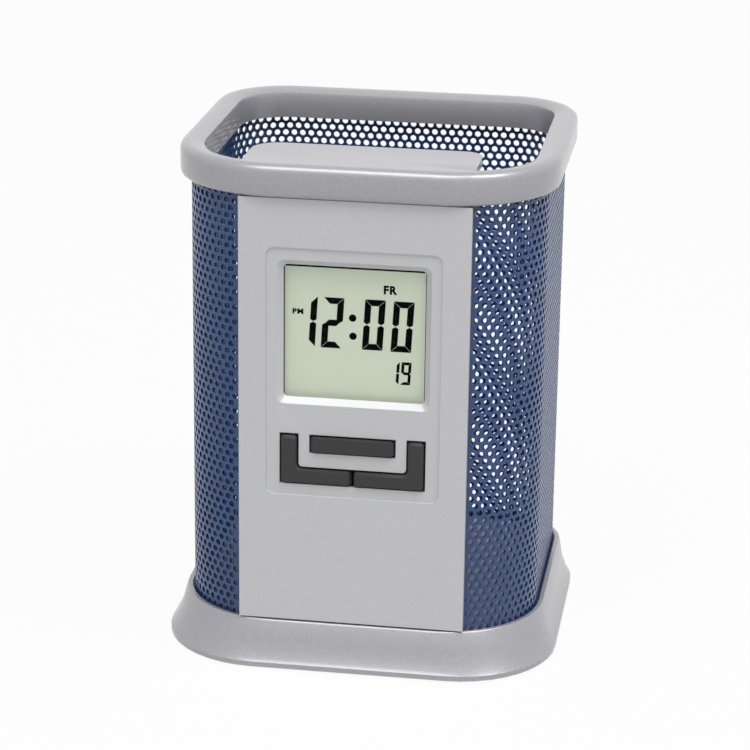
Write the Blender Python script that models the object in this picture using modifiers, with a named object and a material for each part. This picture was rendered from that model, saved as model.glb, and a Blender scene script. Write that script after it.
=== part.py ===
"""Pen holder clock: a perforated steel cup between a moulded rim and a flared base, its clock in front.

Metres, +Z up, front towards -Y, origin on the table under the middle of the holder. Run it in Blender.
"""

import math

import bmesh
import bpy
from mathutils import Matrix, Vector

MM = 0.001
FIT = 0.3

# Driving sizes of the holder, in millimetres
HEIGHT = 112.0
RIM_HALF_X, RIM_HALF_Y = 40.7, 37.4
RIM_CORNER_FRONT, RIM_CORNER_REAR = 22.5, 15.9
RIM_FACE = 5.3
RIM_BAND_BOTTOM = 105.1
RIM_SKIRT_BOTTOM = 105.5
WALL_INSET = 2.4
WALL_THICKNESS = 0.5
WALL_TOP = 107.2
WALL_COLUMNS, WALL_COLUMN_PITCH = 17, 12.4
WALL_ROWS, WALL_ROW_PITCH = 8, 11.8
WALL_OPENING = 8.2
PAD_PROUD = 0.6

# Base moulding, from the table up
FOOT_HALF_X, FOOT_HALF_Y, FOOT_CORNER = 43.1, 40.3, 22.0
FOOT_BAND_BOTTOM, FOOT_BAND_TOP, SHOULDER_HEIGHT = 0.9, 1.9, 2.6
WAIST_HALF_X, WAIST_HALF_Y, WAIST_FRONT, WAIST_REAR, WAIST_HEIGHT = 40.9, 37.9, 21.6, 18.2, 6.3
BASE_WALL, HOLLOW_INSET, HOLLOW_HEIGHT = 2.4, 3.1, 3.2
FLOOR_UNDER, FLOOR_TOP = 7.4, 9.4
GROOVE_BOTTOM, BASE_TOP, LIP_WIDTH = 8.2, 10.4, 1.1
BOSS_RADIUS, BOSS_BORE_TOP = 3.0, 7.8

# Driving sizes of the clock unit
PANEL_HALF_X = 24.4
PANEL_FRONT = -36.1
PANEL_THICKNESS = 1.3
PANEL_BOTTOM, PANEL_TOP = 10.7, 104.8
FRAME_HALF_X, FRAME_BOTTOM, FRAME_TOP = 18.6, 39.6, 94.3
FRAME_STEP, FRAME_CORNER = 0.4, 1.9
WINDOW_HALF_X, WINDOW_BOTTOM, WINDOW_TOP = 16.3, 60.0, 91.55
WINDOW_DEPTH, WINDOW_SLOPE, WINDOW_CORNER, WINDOW_INNER_CORNER = 1.7, 1.25, 1.5, 0.9
RIB_MARGIN = 1.5
LENS_MARGIN, LENS_THICKNESS, GLASS_THICKNESS, GLASS_FRAME_WALL = 0.6, 0.8, 1.9, 0.65
STRIP_HALF_X, STRIP_HEIGHT = 15.0, 2.0
CASE_HALF_X, CASE_REAR, CASE_CORNER, CASE_INNER_CORNER = 23.6, -16.6, 5.0, 2.0
CASE_WALL, CASE_REAR_WALL = 1.4, 2.4
CASE_TOP = 109.5
DECK_FRONT, DECK_REAR, DECK_TOP, DECK_THICKNESS = -33.7, -16.2, 111.6, 1.8
DECK_CORNER_LEFT, DECK_CORNER_RIGHT = 6.0, 4.0
DECK_TAB_HALF_X, DECK_TAB_FRONT, DECK_TAB_BOTTOM = 14.0, -22.6, 102.0
BOARD_HALF_X, BOARD_BOTTOM, BOARD_TOP = 21.5, 40.5, 94.5
BOARD_FRONT, BOARD_THICKNESS = -26.2, 1.2

# Keys, in the plane of the panel
KEY_PROUD, KEY_EDGE, KEY_GAP, KEY_FLANGE, KEY_TRAVEL = 0.75, 0.45, 0.4, 1.0, 0.7
BAR_HALF_X, BAR_BOTTOM, BAR_TOP = 8.85, 49.55, 52.9
ELL_HALF_X, ELL_BOTTOM, ELL_TOP = 15.25, 42.4, 53.0
ELL_ARM_X, ELL_ARM_TOP, ELL_PARTING, ELL_CORNER = 11.95, 45.55, 0.4, 1.2
FLANGE_THICKNESS, STEM_RADIUS, DOME_HEIGHT = 0.8, 1.5, 0.8

# Battery door and cell
DOOR_HALF_X, DOOR_BOTTOM, DOOR_TOP, DOOR_THICKNESS = 8.5, 66.5, 86.5, 1.6
DOOR_TRAVEL = 18.0
TONGUE, TONGUE_FRONT, TONGUE_REAR = 1.0, -18.0, -17.4
RIDGES, RIDGE_HALF_X, RIDGE_PITCH, RIDGE_WIDTH = 4, 4.5, 1.6, 0.7
POCKET_HALF_X, POCKET_BOTTOM, POCKET_TOP = 7.0, 68.5, 83.5
POCKET_FRONT, POCKET_WALL = -23.2, 0.7
CELL_RADIUS, CELL_THICKNESS, CELL_HEIGHT = 5.8, 3.05, 76.0
CONTACT, LEAF_HALF_X, CONTACT_FOOT = 0.3, 1.5, 61.5
SIDE_CONTACT_X, SIDE_CONTACT_FRONT, SIDE_CONTACT_REAR = 6.2, -22.3, -19.9
BUZZER_HEIGHT, BUZZER_RADIUS = 30.0, 10.0

# Fastenings
SCREW_RADIUS, HEAD_RADIUS, HEAD_HEIGHT, HEAD_SINK = 0.95, 1.9, 1.1, 1.6
HOLE_RADIUS = SCREW_RADIUS + FIT
CASE_POSTS_X, CASE_POSTS_Z = 18.4, (17.0, 99.3)
BOARD_POSTS_X, BOARD_POSTS_Z = 20.0, (43.0, 91.5)
RIM_SCREWS_X, RIM_SCREWS_Z = 9.5, 105.5
FOOT_SCREWS_X, FOOT_SCREWS_Y = 11.0, -26.0
BOARD_POST_RADIUS, BOARD_BORE_END = 1.8, -31.6
CASE_POST_RADIUS, CASE_BORE_END = 2.4, -27.0
FOOT_BOSS_RADIUS, FOOT_BOSS_TOP = 2.5, 17.0
PLATE_SCREWS = 20.0
PLATE_BOTTOM, PLATE_TOP = 0.9, 2.7
PAD_X, PAD_Y, PAD_RADIUS, PAD_RECESS = 30.5, 27.5, 4.2, 0.5

CORNER_STEPS = 10
ROUND_STEPS = 20

# Places that follow from the sizes above
PANEL_BACK = PANEL_FRONT + PANEL_THICKNESS
FRAME_PLANE = PANEL_FRONT + FRAME_STEP
WINDOW_BACK = FRAME_PLANE + WINDOW_DEPTH - FIT
LENS_FRONT = WINDOW_BACK + FIT
GLASS_FRONT = LENS_FRONT + LENS_THICKNESS + FIT
GLASS_BACK = GLASS_FRONT + GLASS_THICKNESS
BOARD_BACK = BOARD_FRONT + BOARD_THICKNESS
CASE_FRONT = PANEL_BACK + FIT
CASE_BOTTOM = FLOOR_TOP + FIT
CASE_REAR_INNER = CASE_REAR - CASE_REAR_WALL
DOOR_INNER = CASE_REAR - DOOR_THICKNESS
WALL_END_X = CASE_HALF_X + FIT
DECK_UNDER = DECK_TOP - DECK_THICKNESS
WALL_MIDDLE = WALL_INSET + WALL_THICKNESS / 2
WALL_HALF_X, WALL_HALF_Y = RIM_HALF_X - WALL_MIDDLE, RIM_HALF_Y - WALL_MIDDLE
WALL_FRONT, WALL_REAR = RIM_CORNER_FRONT - WALL_MIDDLE, RIM_CORNER_REAR - WALL_MIDDLE
WALL_FLANK = 2 * WALL_HALF_Y - WALL_FRONT - WALL_REAR
DOME_SEAT = BOARD_FRONT - FIT
STEM_TIP = DOME_SEAT - DOME_HEIGHT - FIT - KEY_TRAVEL
LEAF_FRONT = POCKET_FRONT + FIT
HEAD_SEAT = CASE_REAR - HEAD_SINK + FIT


def collection(name):
    made = bpy.data.collections.new(name)
    bpy.context.scene.collection.children.link(made)
    return made


for old in list(bpy.data.objects):
    bpy.data.objects.remove(old)
PARTS = collection("pen_holder_clock")
HELPERS = collection("cutters")
HELPERS.hide_render = True
ROOT = bpy.data.objects.new("pen_holder_clock_origin", None)
PARTS.objects.link(ROOT)


# Materials

def principled(name, colour, roughness, metallic=0.0):
    made = bpy.data.materials.get(name) or bpy.data.materials.new(name)
    made.use_nodes = True
    shader = made.node_tree.nodes["Principled BSDF"]
    shader.inputs["Base Color"].default_value = (*colour, 1.0)
    shader.inputs["Roughness"].default_value = roughness
    shader.inputs["Metallic"].default_value = metallic
    made.diffuse_color = (*colour, 1.0)
    return made


def silver_paint():
    return principled("silver paint", (0.52, 0.53, 0.55), 0.42, 0.25)


def panel_silver():
    return principled("panel silver", (0.54, 0.54, 0.56), 0.5, 0.2)


def navy_enamel():
    return principled("navy enamel on steel", (0.035, 0.07, 0.19), 0.4, 0.1)


def key_plastic():
    return principled("dark grey key plastic", (0.06, 0.056, 0.06), 0.5)


def case_plastic():
    return principled("grey case plastic", (0.33, 0.34, 0.36), 0.5)


def rubber():
    return principled("black rubber", (0.02, 0.02, 0.02), 0.8)


def clear_acrylic():
    return principled("clear acrylic", (0.9, 0.93, 0.9), 0.05)


def display_glass():
    return principled("display glass", (0.51, 0.57, 0.43), 0.2)


def white_plastic():
    return principled("white plastic", (0.8, 0.8, 0.78), 0.5)


def board_laminate():
    return principled("green board laminate", (0.03, 0.16, 0.07), 0.45)


def black_epoxy():
    return principled("black epoxy", (0.01, 0.01, 0.012), 0.35)


def steel():
    return principled("bright steel", (0.6, 0.6, 0.62), 0.3, 1.0)


def brass():
    return principled("brass", (0.7, 0.5, 0.2), 0.3, 1.0)


def red_sleeve():
    return principled("red wire sleeve", (0.5, 0.02, 0.02), 0.45)


def black_sleeve():
    return principled("black wire sleeve", (0.015, 0.015, 0.015), 0.45)


# Outlines, as lists of points in a plane

def arc(centre, radius, start, end, steps):
    turns = [math.radians(start + (end - start) * i / steps) for i in range(steps + 1)]
    return [(centre[0] + radius * math.cos(t), centre[1] + radius * math.sin(t)) for t in turns]


def rounded_plan(half_x, half_y, front, rear, steps=CORNER_STEPS):
    """The plan of a ring of the holder, anticlockwise from its front right corner."""
    return (
        arc((half_x - front, front - half_y), front, -90, 0, steps)
        + arc((half_x - rear, half_y - rear), rear, 0, 90, steps)
        + arc((rear - half_x, half_y - rear), rear, 90, 180, steps)
        + arc((front - half_x, front - half_y), front, 180, 270, steps)
    )


def inset_plan(inset):
    """The rim's plan drawn in by inset."""
    return rounded_plan(
        RIM_HALF_X - inset, RIM_HALF_Y - inset, RIM_CORNER_FRONT - inset, RIM_CORNER_REAR - inset
    )


def rounded_box(left, right, bottom, top, radius, steps=5):
    if not radius:
        return [(left, bottom), (right, bottom), (right, top), (left, top)]
    return (
        arc((right - radius, bottom + radius), radius, -90, 0, steps)
        + arc((right - radius, top - radius), radius, 0, 90, steps)
        + arc((left + radius, top - radius), radius, 90, 180, steps)
        + arc((left + radius, bottom + radius), radius, 180, 270, steps)
    )


def ell_outline(side, grow=0.0):
    """The L of the left (-1) or right (1) key, its inner corner rounded, grown on every side by grow."""
    outer = ELL_HALF_X + grow
    inner = ELL_PARTING - min(grow, 0.2)
    arm = ELL_ARM_X - grow
    low, high, shelf = ELL_BOTTOM - grow, ELL_TOP + grow, ELL_ARM_TOP + grow
    radius = ELL_CORNER - grow
    bend = arc((arm - radius, shelf + radius), radius, -90, 0, 4)
    right = [(inner, low), (outer, low), (outer, high), (arm, high)] + bend[::-1] + [(inner, shelf)]
    return right if side > 0 else [(-x, z) for x, z in right[::-1]]


def bar_outline(grow=0.0):
    return rounded_box(-BAR_HALF_X - grow, BAR_HALF_X + grow, BAR_BOTTOM - grow, BAR_TOP + grow, 0)


def ell_pair_outline(grow):
    """One opening that both L keys share."""
    right = [p for p in ell_outline(1, grow) if p[0] > 1]
    return right + [(-x, z) for x, z in right[::-1]]


# Solids

def placed(obj, material, helper):
    (HELPERS if helper else PARTS).objects.link(obj)
    if helper:
        obj.hide_render = True
        obj.display_type = "WIRE"
    else:
        obj.data.materials.append(material)
        obj.parent = ROOT
    return obj


def from_bmesh(name, shape, location, material=None):
    """A mesh object from shape, in millimetres about location. Without a material it is a helper."""
    bmesh.ops.recalc_face_normals(shape, faces=shape.faces)
    bmesh.ops.scale(shape, vec=Vector((MM, MM, MM)), verts=shape.verts)
    mesh = bpy.data.meshes.new(name)
    shape.to_mesh(mesh)
    shape.free()
    obj = bpy.data.objects.new(name, mesh)
    obj.location = Vector(location) * MM
    return placed(obj, material, material is None)


def block(name, x, y, z, material=None):
    shape = bmesh.new()
    bmesh.ops.create_cube(shape, size=1.0)
    sides = Vector((x[1] - x[0], y[1] - y[0], z[1] - z[0]))
    bmesh.ops.scale(shape, vec=sides, verts=shape.verts)
    centre = [(low + high) / 2 for low, high in (x, y, z)]
    return from_bmesh(name, shape, centre, material)


def rod(name, centre, radius, ends, axis="Y", material=None, segments=ROUND_STEPS):
    """A round bar along axis between ends; centre gives its other two coordinates."""
    shape = bmesh.new()
    bmesh.ops.create_cone(
        shape, cap_ends=True, segments=segments, radius1=radius, radius2=radius, depth=ends[1] - ends[0]
    )
    middle = (ends[0] + ends[1]) / 2
    if axis == "Y":
        bmesh.ops.rotate(shape, matrix=Matrix.Rotation(math.pi / 2, 3, "X"), verts=shape.verts)
        location = (centre[0], middle, centre[1])
    elif axis == "X":
        bmesh.ops.rotate(shape, matrix=Matrix.Rotation(math.pi / 2, 3, "Y"), verts=shape.verts)
        location = (middle, centre[0], centre[1])
    else:
        location = (centre[0], centre[1], middle)
    made = from_bmesh(name, shape, location, material)
    smooth(made)
    return made


def loft(name, sections, material=None):
    """A solid through sections of (plan, height), each with as many points, closed at both ends."""
    shape = bmesh.new()
    rings = [[shape.verts.new((x, y, z)) for x, y in plan] for plan, z in sections]
    count = len(rings[0])
    for low, high in zip(rings, rings[1:]):
        for i in range(count):
            j = (i + 1) % count
            shape.faces.new((low[i], low[j], high[j], high[i]))
    shape.faces.new(rings[0])
    shape.faces.new(rings[-1])
    return from_bmesh(name, shape, (0, 0, 0), material)


def curve_data(name, outlines, extrude=0.0, cyclic=True):
    data = bpy.data.curves.new(name, "CURVE")
    data.dimensions = "2D"
    for outline in outlines:
        spline = data.splines.new("POLY")
        spline.points.add(len(outline) - 1)
        for point, (x, y) in zip(spline.points, outline):
            point.co = (x * MM, y * MM, 0, 1)
        spline.use_cyclic_u = cyclic
    data.extrude = extrude * MM
    return data


def curve_to_mesh(curve, material=None):
    """The curve as a welded mesh object, in its place."""
    bpy.context.scene.collection.objects.link(curve)
    bpy.context.view_layer.update()
    evaluated = curve.evaluated_get(bpy.context.evaluated_depsgraph_get())
    mesh = bpy.data.meshes.new_from_object(evaluated)
    shape = bmesh.new()
    shape.from_mesh(mesh)
    bmesh.ops.remove_doubles(shape, verts=shape.verts, dist=0.000005)
    bmesh.ops.recalc_face_normals(shape, faces=shape.faces)
    shape.to_mesh(mesh)
    shape.free()
    name, place = curve.name, curve.matrix_world.copy()
    bpy.data.objects.remove(curve)
    obj = bpy.data.objects.new(name, mesh)
    obj.matrix_world = place
    return placed(obj, material, material is None)


def set_origin(obj, place):
    """Moves the object's origin to place, in millimetres, and leaves its shape where it is."""
    origin = Matrix.Translation(Vector(place) * MM)
    obj.data.transform(origin.inverted() @ obj.matrix_world)
    obj.matrix_world = origin


def cut_out(name, outlines, low, high, axis="Y", material=None):
    """A flat piece with these outlines, its edge first and then its holes, between low and high on axis.

    Outlines are (x, z) for a piece across Y, (y, z) for one across X and (x, y) for one across Z.
    """
    data = curve_data(name, outlines, extrude=(high - low) / 2)
    data.fill_mode = "BOTH"
    curve = bpy.data.objects.new(name, data)
    middle = (low + high) / 2 * MM
    if axis == "Y":
        curve.matrix_world = Matrix.Translation((0, middle, 0)) @ Matrix.Rotation(math.pi / 2, 4, "X")
    elif axis == "X":
        turn = Matrix(((0, 0, 1, 0), (1, 0, 0, 0), (0, 1, 0, 0), (0, 0, 0, 1)))
        curve.matrix_world = Matrix.Translation((middle, 0, 0)) @ turn
    else:
        curve.matrix_world = Matrix.Translation((0, 0, middle))
    return curve_to_mesh(curve, material)


def turned(name, profile, place, pointing, material, steps=ROUND_STEPS):
    """A turned piece, its profile (radius, height) from the top down, and its top turned to pointing."""
    mesh = bpy.data.meshes.new(name)
    points = [(radius * MM, 0, height * MM) for radius, height in profile]
    mesh.from_pydata(points, [(i, i + 1) for i in range(len(points) - 1)], [])
    obj = bpy.data.objects.new(name, mesh)
    obj.location = Vector(place) * MM
    obj.rotation_euler = Vector(pointing).to_track_quat("Z", "Y").to_euler()
    screw = obj.modifiers.new("turn", "SCREW")
    screw.steps = screw.render_steps = steps
    screw.use_merge_vertices = True
    screw.merge_threshold = 0.00001
    return placed(obj, material, False)


def wire(name, points, radius, material):
    """A round wire along points, with filled ends."""
    data = bpy.data.curves.new(name, "CURVE")
    data.dimensions = "3D"
    spline = data.splines.new("POLY")
    spline.points.add(len(points) - 1)
    for point, place in zip(spline.points, points):
        point.co = (*(Vector(place) * MM), 1)
    data.bevel_depth = radius * MM
    data.bevel_resolution = 1
    data.use_fill_caps = True
    made = curve_to_mesh(bpy.data.objects.new(name, data), material)
    smooth(made)
    return made


def smooth(obj, angle=40):
    obj.data.shade_smooth()
    obj.data.set_sharp_from_angle(angle=math.radians(angle))


def boolean(obj, tool, operation):
    modifier = obj.modifiers.new(f"{operation.lower()} {tool.name}", "BOOLEAN")
    modifier.object = tool
    modifier.operation = operation
    modifier.solver = "EXACT"


def cut(obj, *tools):
    for tool in tools:
        boolean(obj, tool, "DIFFERENCE")


def join(obj, *tools):
    for tool in tools:
        boolean(obj, tool, "UNION")


def bevel(obj, width, segments=1, angle=40):
    modifier = obj.modifiers.new("edges", "BEVEL")
    modifier.width = width * MM
    modifier.segments = segments
    modifier.limit_method = "ANGLE"
    modifier.angle_limit = math.radians(angle)


def both_sides(x):
    return (("left", -x), ("right", x))


def posts(x, heights):
    """Four places (x, z) behind the panel, with their names."""
    low, high = heights
    return [
        (f"{side}_{level}", (place, z))
        for side, place in both_sides(x)
        for level, z in (("low", low), ("high", high))
    ]


# Base

def foot_plan(inset):
    """The foot's plan drawn in by inset."""
    corner = FOOT_CORNER - inset
    return rounded_plan(FOOT_HALF_X - inset, FOOT_HALF_Y - inset, corner, corner)


def corners(x, y):
    """The four places at this distance from the middle, with their names."""
    return [
        (f"{side}_{end}", (sign_x * x, sign_y * y))
        for side, sign_x in (("left", -1), ("right", 1))
        for end, sign_y in (("front", -1), ("rear", 1))
    ]


def base_shell():
    """Flared moulding: floor, groove for the wall, lip, flare and foot band, hollow underneath."""
    edge = 0.3
    groove_outer = WALL_INSET - FIT
    groove_inner = WALL_INSET + WALL_THICKNESS + FIT
    lip = groove_outer - LIP_WIDTH
    shell = loft(
        "base_shell",
        [
            (inset_plan(groove_inner), FLOOR_TOP),
            (inset_plan(groove_inner), GROOVE_BOTTOM),
            (inset_plan(groove_outer), GROOVE_BOTTOM),
            (inset_plan(groove_outer), BASE_TOP - edge),
            (inset_plan(groove_outer - edge), BASE_TOP),
            (inset_plan(lip), BASE_TOP),
            (inset_plan(lip - edge), BASE_TOP - edge),
            (rounded_plan(WAIST_HALF_X, WAIST_HALF_Y, WAIST_FRONT, WAIST_REAR), WAIST_HEIGHT),
            (foot_plan(2 * edge), SHOULDER_HEIGHT),
            (foot_plan(0), FOOT_BAND_TOP),
            (foot_plan(0), FOOT_BAND_BOTTOM),
            (foot_plan(edge), PAD_PROUD),
            (foot_plan(BASE_WALL), PAD_PROUD),
            (foot_plan(BASE_WALL), HOLLOW_HEIGHT),
            (inset_plan(HOLLOW_INSET), FLOOR_UNDER),
        ],
        silver_paint(),
    )
    for spot, place in corners(PLATE_SCREWS, PLATE_SCREWS):
        boss = (PLATE_TOP + FIT, FLOOR_UNDER + 0.5)
        join(shell, rod(f"base_boss_{spot}", place, BOSS_RADIUS, boss, "Z"))
        cut(shell, rod(f"base_bore_{spot}", place, HOLE_RADIUS, (PLATE_TOP, BOSS_BORE_TOP), "Z"))
    room = CASE_HALF_X + 2 * FIT
    seat = (FLOOR_TOP + 0.1, BASE_TOP + 1.0)
    cut(shell, block("case_seat", (-room, room), (PANEL_BACK, CASE_FRONT + 2.0), seat))
    for side, x in both_sides(FOOT_SCREWS_X):
        hole = (FLOOR_UNDER - 1.0, FLOOR_TOP + 1.0)
        cut(shell, rod(f"floor_hole_{side}", (x, FOOT_SCREWS_Y), HOLE_RADIUS, hole, "Z"))
    smooth(shell)


def base_plate():
    """Flat cover under the base, with recesses for the pads and countersunk holes for its screws."""
    below = PLATE_BOTTOM - 0.5
    sink_top = PLATE_BOTTOM + HEAD_HEIGHT
    outline = foot_plan(BASE_WALL + FIT)
    plate = cut_out("base_plate", [outline], PLATE_BOTTOM, PLATE_TOP, "Z", case_plastic())
    for spot, place in corners(PLATE_SCREWS, PLATE_SCREWS):
        cut(
            plate,
            rod(f"plate_hole_{spot}", place, HOLE_RADIUS, (below, PLATE_TOP + 0.5), "Z"),
            rod(f"plate_sink_{spot}", place, HEAD_RADIUS + FIT, (below, sink_top), "Z"),
        )
        screw(f"base_screw_{spot}", (*place, sink_top - FIT), (0, 0, -1), 5.8)
    for spot, place in corners(PAD_X, PAD_Y):
        recess = (below, PLATE_BOTTOM + PAD_RECESS)
        cut(plate, rod(f"pad_recess_{spot}", place, PAD_RADIUS + FIT, recess, "Z"))
        foot_pad(spot, place)
    smooth(plate)


def foot_pad(spot, place):
    top = PLATE_BOTTOM + PAD_RECESS - FIT
    edge = 0.3
    profile = [(0, top), (PAD_RADIUS, top), (PAD_RADIUS, edge), (PAD_RADIUS - edge, 0), (0, 0)]
    turned(f"foot_pad_{spot}", profile, (*place, 0), (0, 0, 1), rubber())


def screw(name, seat, heading, length):
    """A pan-head screw whose head stands on seat and points to heading, its shank going the other way."""
    profile = [
        (0, HEAD_HEIGHT * 0.85),
        (HEAD_RADIUS * 0.7, HEAD_HEIGHT * 0.75),
        (HEAD_RADIUS, HEAD_HEIGHT * 0.35),
        (HEAD_RADIUS, 0),
        (SCREW_RADIUS, 0),
        (SCREW_RADIUS, 0.8 - length),
        (0, -length),
    ]
    turned(name, profile, seat, heading, steel(), steps=12)


# Cup

def wall_point(along):
    """The place on the wall's middle line at this distance from the middle of its back, right positive."""
    side, left = math.copysign(1, along), abs(along)
    back = WALL_HALF_X - WALL_REAR
    if left <= back:
        return along, WALL_HALF_Y
    turn = (left - back) / WALL_REAR
    if turn <= math.pi / 2:
        x = back + WALL_REAR * math.sin(turn)
        return side * x, WALL_HALF_Y - WALL_REAR * (1 - math.cos(turn))
    left -= back + WALL_REAR * math.pi / 2
    if left <= WALL_FLANK:
        return side * WALL_HALF_X, WALL_HALF_Y - WALL_REAR - left
    turn = (left - WALL_FLANK) / WALL_FRONT
    x = WALL_HALF_X - WALL_FRONT * (1 - math.cos(turn))
    return side * x, WALL_FRONT * (1 - math.sin(turn)) - WALL_HALF_Y


def wall_reach():
    """Distance along the wall from the middle of its back to its end beside the clock case."""
    turn = math.acos((WALL_END_X - WALL_HALF_X) / WALL_FRONT + 1)
    return WALL_HALF_X - WALL_REAR + WALL_REAR * math.pi / 2 + WALL_FLANK + WALL_FRONT * turn


def grid_lines(low, high, count, pitch, parts):
    """Lines from low to high that bound the openings, each in parts, and which steps are open."""
    lines, open_steps = [low], []
    for number in range(count):
        start = (low + high) / 2 + (number - (count - 1) / 2) * pitch - WALL_OPENING / 2
        if number == 0:
            lines.append((low + start) / 2)
        lines.append(start)
        for part in range(parts):
            open_steps.append(len(lines) - 1)
            lines.append(start + WALL_OPENING * (part + 1) / parts)
    return lines + [(lines[-1] + high) / 2, high], open_steps


def mesh_wall():
    """The bent sheet with a plain grid of openings, from one side of the clock case round the back."""
    reach = wall_reach()
    columns, open_columns = grid_lines(-reach, reach, WALL_COLUMNS, WALL_COLUMN_PITCH, 2)
    rows, open_rows = grid_lines(GROOVE_BOTTOM + FIT, WALL_TOP, WALL_ROWS, WALL_ROW_PITCH, 1)
    steps = (len(columns) - 1, len(rows) - 1)
    shape = bmesh.new()
    bmesh.ops.create_grid(shape, x_segments=steps[0], y_segments=steps[1], size=0.5)

    def place(point):
        return (point.x + 0.5) * steps[0], (point.y + 0.5) * steps[1]

    openings = []
    for face in shape.faces:
        column, row = place(face.calc_center_median())
        if int(column) in open_columns and int(row) in open_rows:
            openings.append(face)
    bmesh.ops.delete(shape, geom=openings, context="FACES")
    for vert in shape.verts:
        column, row = place(vert.co)
        vert.co = (*wall_point(columns[round(column)]), rows[round(row)])
    wall = from_bmesh("mesh_wall", shape, (0, 0, 0), navy_enamel())
    solid = wall.modifiers.new("sheet", "SOLIDIFY")
    solid.thickness = WALL_THICKNESS * MM
    solid.offset = 0.0
    smooth(wall)


def top_rim():
    """Swept rim with a crowned face, outer band and inner skirt, and the deck over the clock unit."""
    profile = [
        (0.7, RIM_BAND_BOTTOM),
        (0.2, RIM_BAND_BOTTOM + 0.4),
        (0.0, RIM_BAND_BOTTOM + 1.2),
        (0.0, HEIGHT - 1.7),
        (0.3, HEIGHT - 0.7),
        (1.1, HEIGHT - 0.1),
        (2.2, HEIGHT),
        (4.3, HEIGHT - 0.4),
        (RIM_FACE - 0.2, HEIGHT - 0.8),
        (RIM_FACE, HEIGHT - 1.4),
        (RIM_FACE, RIM_SKIRT_BOTTOM),
        (RIM_FACE - 1.2, RIM_SKIRT_BOTTOM),
        (RIM_FACE - 1.2, HEIGHT - 2.4),
        (WALL_INSET - FIT, HEIGHT - 2.4),
        (WALL_INSET - FIT, RIM_BAND_BOTTOM),
    ]
    section = bpy.data.objects.new("rim_section", curve_data("rim_section", [profile]))
    HELPERS.objects.link(section)
    path = curve_data("top_rim", [inset_plan(0)])
    path.bevel_mode = "OBJECT"
    path.bevel_object = section
    rim = curve_to_mesh(bpy.data.objects.new("top_rim", path), silver_paint())
    room = CASE_HALF_X + 2 * FIT
    skirt = (RIM_SKIRT_BOTTOM - 1.0, DECK_UNDER)
    cut(rim, block("case_room", (-room, room), (PANEL_BACK, RIM_FACE - RIM_HALF_Y + 1.0), skirt))
    left, right = DECK_CORNER_LEFT, DECK_CORNER_RIGHT
    outline = (
        [(PANEL_HALF_X, DECK_FRONT)]
        + arc((PANEL_HALF_X - right, DECK_REAR - right), right, 0, 90, 6)
        + arc((left - PANEL_HALF_X, DECK_REAR - left), left, 90, 180, 6)
        + [(-PANEL_HALF_X, DECK_FRONT)]
    )
    width, depth = (-DECK_TAB_HALF_X, DECK_TAB_HALF_X), (DECK_TAB_FRONT, CASE_REAR_INNER - FIT)
    join(
        rim,
        cut_out("deck", [outline], DECK_UNDER, DECK_TOP, "Z"),
        block("deck_tab", width, depth, (DECK_TAB_BOTTOM, DECK_UNDER + 0.4)),
    )
    bore = (depth[0] - 1.0, depth[1] + 1.0)
    for side, x in both_sides(RIM_SCREWS_X):
        cut(rim, rod(f"tab_bore_{side}", (x, RIM_SCREWS_Z), HOLE_RADIUS, bore))
        screw(f"rim_screw_{side}", (x, HEAD_SEAT, RIM_SCREWS_Z), (0, 1, 0), 4.2)
    smooth(rim)


# Clock unit

def front_panel():
    """Flat front plate: shallow frame step, drafted window, key openings, window rib and screw posts."""
    panel = cut_out(
        "front_panel",
        [rounded_box(-PANEL_HALF_X, PANEL_HALF_X, PANEL_BOTTOM, PANEL_TOP, 0)],
        PANEL_FRONT,
        PANEL_BACK,
        material=panel_silver(),
    )
    half = WINDOW_HALF_X + RIB_MARGIN
    rib = rounded_box(-half, half, WINDOW_BOTTOM - RIB_MARGIN, WINDOW_TOP + RIB_MARGIN, WINDOW_CORNER)
    root = PANEL_BACK - 0.4
    join(panel, cut_out("window_rib", [rib], root, WINDOW_BACK))
    for spot, place in posts(BOARD_POSTS_X, BOARD_POSTS_Z):
        join(panel, rod(f"board_post_{spot}", place, BOARD_POST_RADIUS, (root, BOARD_FRONT - FIT)))
        cut(panel, rod(f"board_bore_{spot}", place, HOLE_RADIUS, (BOARD_BORE_END, BOARD_FRONT)))
    for spot, place in posts(CASE_POSTS_X, CASE_POSTS_Z):
        join(panel, rod(f"case_post_{spot}", place, CASE_POST_RADIUS, (root, CASE_REAR_INNER - 2 * FIT)))
        cut(panel, rod(f"case_bore_{spot}", place, HOLE_RADIUS, (CASE_BORE_END, CASE_REAR_INNER)))
    frame = rounded_box(-FRAME_HALF_X, FRAME_HALF_X, FRAME_BOTTOM, FRAME_TOP, FRAME_CORNER)
    cut(panel, cut_out("frame_step", [frame], PANEL_FRONT - 1.0, FRAME_PLANE))
    cut(panel, window_cutter())
    through = (PANEL_FRONT - 1.0, PANEL_BACK + 0.5)
    cut(panel, cut_out("bar_opening", [bar_outline(KEY_GAP)], *through))
    cut(panel, cut_out("ell_opening", [ell_pair_outline(KEY_GAP)], *through))


def window_cutter():
    """Opening with sloped edges: it narrows at 45 degrees, then its walls run straight back."""
    def section(depth):
        slope = min(depth, WINDOW_SLOPE)
        corner = WINDOW_CORNER - (WINDOW_CORNER - WINDOW_INNER_CORNER) * slope / WINDOW_SLOPE
        half = WINDOW_HALF_X - slope
        return rounded_box(-half, half, WINDOW_BOTTOM + slope, WINDOW_TOP - slope, corner)
    depths = (-0.8, WINDOW_SLOPE, WINDOW_DEPTH + 0.2)
    cutter = loft("window_opening", [(section(depth), -depth) for depth in depths])
    place = Matrix.Translation((0, FRAME_PLANE * MM, 0))
    cutter.matrix_world = place @ Matrix.Rotation(math.pi / 2, 4, "X")
    return cutter


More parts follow.
